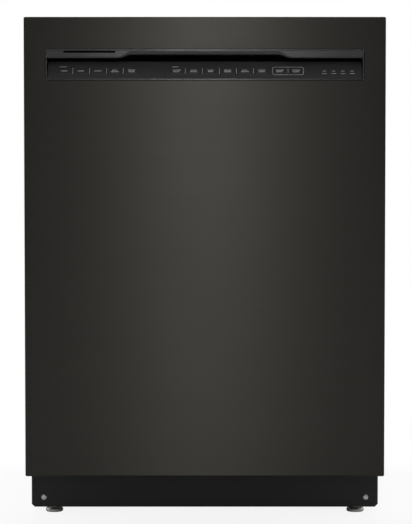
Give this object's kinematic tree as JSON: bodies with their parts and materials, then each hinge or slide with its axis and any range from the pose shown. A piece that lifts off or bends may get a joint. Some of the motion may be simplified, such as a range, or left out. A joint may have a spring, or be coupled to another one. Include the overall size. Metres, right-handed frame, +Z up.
{
  "type": "built in dishwasher",
  "caption": "Built-in dishwasher with a drop-down door, pocket grip and front keys, steel tub, two sliding racks, spray arms, pump base and levelling legs.",
  "frame": {"origin": "on the floor under the middle of the bounding box, with the door closed and the legs fully in", "axes": "+Z up, the door front faces -Y, +X is the machine's right seen from the front"},
  "size_m": [0.6064, 0.622, 0.852],
  "materials": {
    "black_stainless": "fine horizontal brush, dark coated",
    "satin_black": "satin",
    "galvanised": "galvanised, satin",
    "stainless": "bright, fine brush",
    "zinc": "zinc plated",
    "console_black": "satin",
    "fascia_black": "gloss",
    "key_black": "semi gloss",
    "lens": "translucent",
    "board": "solder mask",
    "grey_plastic": "satin",
    "dark_plastic": "matt",
    "white_plastic": "satin",
    "rack_nylon": "nylon coated",
    "rubber_grey": "matt",
    "blanket": "felted fibre",
    "heater": "oxidised"
  },
  "bodies": {
    "cabinet": {"base_frame": "galvanised", "toe_kick": "satin_black", "toe_kick_screws": "zinc", "tub": "stainless", "tub_gasket": "rubber_grey", "insulation_blanket": "blanket", "mounting_brackets": "galvanised", "door_strike": "zinc", "sump": "dark_plastic", "filter_plate": "grey_plastic", "wash_pump": "dark_plastic", "drain_pump": "dark_plastic", "inlet_valve": "white_plastic", "junction_box": "galvanised", "heating_element": "heater", "feed_tube": "grey_plastic", "upper_rails": "stainless", "door_springs": "zinc"},
    "door": {"door_panel": "black_stainless", "inner_door": "stainless", "hinge_arms": "galvanised", "door_bottom_seal": "rubber_grey", "console_bezel": "console_black", "control_fascia": "fascia_black", "indicator_lenses": "lens", "control_board": "board", "door_latch": "dark_plastic", "vent_duct": "grey_plastic", "dispenser_body": "grey_plastic"},
    "latch_hook": {"latch_hook": "zinc"},
    "detergent_lid": {"detergent_lid": "grey_plastic"},
    "rinse_aid_cap": {"rinse_aid_cap": "grey_plastic"},
    "upper_tracks": {"upper_tracks": "stainless"},
    "upper_rack": {"upper_rack": "rack_nylon"},
    "upper_spray_arm": {"upper_spray_arm": "grey_plastic"},
    "lower_rack": {"lower_rack": "rack_nylon"},
    "front_wheels": {"front_wheels": "grey_plastic"},
    "rear_wheels": {"rear_wheels": "grey_plastic"},
    "cutlery_basket": {"cutlery_basket": "grey_plastic"},
    "lower_spray_arm": {"lower_spray_arm": "grey_plastic"},
    "filter_cup": {"filter_cup": "grey_plastic"},
    "float": {"float": "grey_plastic"},
    "cycle_key_1": {"cycle_key_1": "key_black"},
    "cycle_key_2": {"cycle_key_2": "key_black"},
    "cycle_key_3": {"cycle_key_3": "key_black"},
    "cycle_key_4": {"cycle_key_4": "key_black"},
    "cycle_key_5": {"cycle_key_5": "key_black"},
    "option_key_1": {"option_key_1": "key_black"},
    "option_key_2": {"option_key_2": "key_black"},
    "option_key_3": {"option_key_3": "key_black"},
    "option_key_4": {"option_key_4": "key_black"},
    "option_key_5": {"option_key_5": "key_black"},
    "option_key_6": {"option_key_6": "key_black"},
    "start_key": {"start_key": "key_black"},
    "cancel_key": {"cancel_key": "key_black"},
    "leg_front_left": {"leg_front_left": "zinc"},
    "leg_front_right": {"leg_front_right": "zinc"},
    "leg_rear_left": {"leg_rear_left": "zinc"},
    "leg_rear_right": {"leg_rear_right": "zinc"}
  },
  "joints": [
    {"name": "door_hinge", "type": "hinge", "parent": "cabinet", "child": "door", "pos_m": [0, -0.275, 0.1], "axis": [1, 0, 0], "range_deg": [0, 90], "stiffness_Nm_per_rad": 26, "deforming": ["door_springs"]},
    {"name": "latch_hook_pivot", "type": "hinge", "parent": "door", "child": "latch_hook", "pos_m": [0, -0.296, 0.814], "axis": [-1, 0, 0], "range_deg": [0, 14], "stiffness_Nm_per_rad": 0.05, "springref_deg": -11.46},
    {"name": "detergent_lid_slide", "type": "slide", "parent": "door", "child": "detergent_lid", "axis": [-1, 0, 0], "range_m": [0, 0.082]},
    {"name": "rinse_aid_cap_turn", "type": "hinge", "parent": "door", "child": "rinse_aid_cap", "pos_m": [0.05, -0.256, 0.457], "axis": [0, 1, 0], "range_deg": [0, 90]},
    {"name": "upper_tracks_slide", "type": "slide", "parent": "cabinet", "child": "upper_tracks", "axis": [0, -1, 0], "range_m": [0, 0.24]},
    {"name": "upper_rack_slide", "type": "slide", "parent": "upper_tracks", "child": "upper_rack", "axis": [0, -1, 0], "range_m": [0, 0.24]},
    {"name": "upper_arm_spin", "type": "hinge", "parent": "upper_rack", "child": "upper_spray_arm", "pos_m": [0, 0.02, 0.487], "axis": [0, 0, 1], "continuous": true},
    {"name": "lower_rack_slide", "type": "slide", "parent": "cabinet", "child": "lower_rack", "axis": [0, -1, 0], "range_m": [0, 0.48]},
    {"name": "front_wheels_roll", "type": "hinge", "parent": "lower_rack", "child": "front_wheels", "pos_m": [0, -0.11, 0.1373], "axis": [1, 0, 0], "range_deg": [-30, 1450]},
    {"name": "rear_wheels_roll", "type": "hinge", "parent": "lower_rack", "child": "rear_wheels", "pos_m": [0, 0.2, 0.1373], "axis": [1, 0, 0], "range_deg": [-30, 1450]},
    {"name": "cutlery_basket_lift", "type": "slide", "parent": "lower_rack", "child": "cutlery_basket", "axis": [0, 0, 1], "range_m": [0, 0.12]},
    {"name": "lower_arm_spin", "type": "hinge", "parent": "cabinet", "child": "lower_spray_arm", "pos_m": [0, 0.02, 0.149], "axis": [0, 0, 1], "continuous": true},
    {"name": "filter_cup_turn", "type": "hinge", "parent": "cabinet", "child": "filter_cup", "pos_m": [0.066, 0.02, 0.118], "axis": [0, 0, 1], "range_deg": [0, 90]},
    {"name": "float_lift", "type": "slide", "parent": "cabinet", "child": "float", "axis": [0, 0, 1], "range_m": [0, 0.008]},
    {"name": "cycle_key_1_press", "type": "slide", "parent": "door", "child": "cycle_key_1", "axis": [0, 0.7547, -0.6561], "range_m": [0, 0.0006], "stiffness_N_per_m": 800, "springref_m": -0.0005},
    {"name": "cycle_key_2_press", "type": "slide", "parent": "door", "child": "cycle_key_2", "axis": [0, 0.7547, -0.6561], "range_m": [0, 0.0006], "stiffness_N_per_m": 800, "springref_m": -0.0005},
    {"name": "cycle_key_3_press", "type": "slide", "parent": "door", "child": "cycle_key_3", "axis": [0, 0.7547, -0.6561], "range_m": [0, 0.0006], "stiffness_N_per_m": 800, "springref_m": -0.0005},
    {"name": "cycle_key_4_press", "type": "slide", "parent": "door", "child": "cycle_key_4", "axis": [0, 0.7547, -0.6561], "range_m": [0, 0.0006], "stiffness_N_per_m": 800, "springref_m": -0.0005},
    {"name": "cycle_key_5_press", "type": "slide", "parent": "door", "child": "cycle_key_5", "axis": [0, 0.7547, -0.6561], "range_m": [0, 0.0006], "stiffness_N_per_m": 800, "springref_m": -0.0005},
    {"name": "option_key_1_press", "type": "slide", "parent": "door", "child": "option_key_1", "axis": [0, 0.7547, -0.6561], "range_m": [0, 0.0006], "stiffness_N_per_m": 800, "springref_m": -0.0005},
    {"name": "option_key_2_press", "type": "slide", "parent": "door", "child": "option_key_2", "axis": [0, 0.7547, -0.6561], "range_m": [0, 0.0006], "stiffness_N_per_m": 800, "springref_m": -0.0005},
    {"name": "option_key_3_press", "type": "slide", "parent": "door", "child": "option_key_3", "axis": [0, 0.7547, -0.6561], "range_m": [0, 0.0006], "stiffness_N_per_m": 800, "springref_m": -0.0005},
    {"name": "option_key_4_press", "type": "slide", "parent": "door", "child": "option_key_4", "axis": [0, 0.7547, -0.6561], "range_m": [0, 0.0006], "stiffness_N_per_m": 800, "springref_m": -0.0005},
    {"name": "option_key_5_press", "type": "slide", "parent": "door", "child": "option_key_5", "axis": [0, 0.7547, -0.6561], "range_m": [0, 0.0006], "stiffness_N_per_m": 800, "springref_m": -0.0005},
    {"name": "option_key_6_press", "type": "slide", "parent": "door", "child": "option_key_6", "axis": [0, 0.7547, -0.6561], "range_m": [0, 0.0006], "stiffness_N_per_m": 800, "springref_m": -0.0005},
    {"name": "start_key_press", "type": "slide", "parent": "door", "child": "start_key", "axis": [0, 0.7547, -0.6561], "range_m": [0, 0.0006], "stiffness_N_per_m": 800, "springref_m": -0.0005},
    {"name": "cancel_key_press", "type": "slide", "parent": "door", "child": "cancel_key", "axis": [0, 0.7547, -0.6561], "range_m": [0, 0.0006], "stiffness_N_per_m": 800, "springref_m": -0.0005},
    {"name": "leg_front_left_screw", "type": "slide", "parent": "cabinet", "child": "leg_front_left", "axis": [0, 0, -1], "range_m": [0, 0.022]},
    {"name": "leg_front_right_screw", "type": "slide", "parent": "cabinet", "child": "leg_front_right", "axis": [0, 0, -1], "range_m": [0, 0.022]},
    {"name": "leg_rear_left_screw", "type": "slide", "parent": "cabinet", "child": "leg_rear_left", "axis": [0, 0, -1], "range_m": [0, 0.022]},
    {"name": "leg_rear_right_screw", "type": "slide", "parent": "cabinet", "child": "leg_rear_right", "axis": [0, 0, -1], "range_m": [0, 0.022]}
  ],
  "couplings": [
    {"joint": "upper_tracks_slide", "follows": "door_hinge", "m_per_rad": 0.15},
    {"joint": "upper_rack_slide", "follows": "door_hinge", "m_per_rad": 0.15},
    {"joint": "lower_rack_slide", "follows": "door_hinge", "m_per_rad": 0.08},
    {"joint": "front_wheels_roll", "follows": "door_hinge", "ratio": 4.2105},
    {"joint": "rear_wheels_roll", "follows": "door_hinge", "ratio": 4.2105}
  ]
}
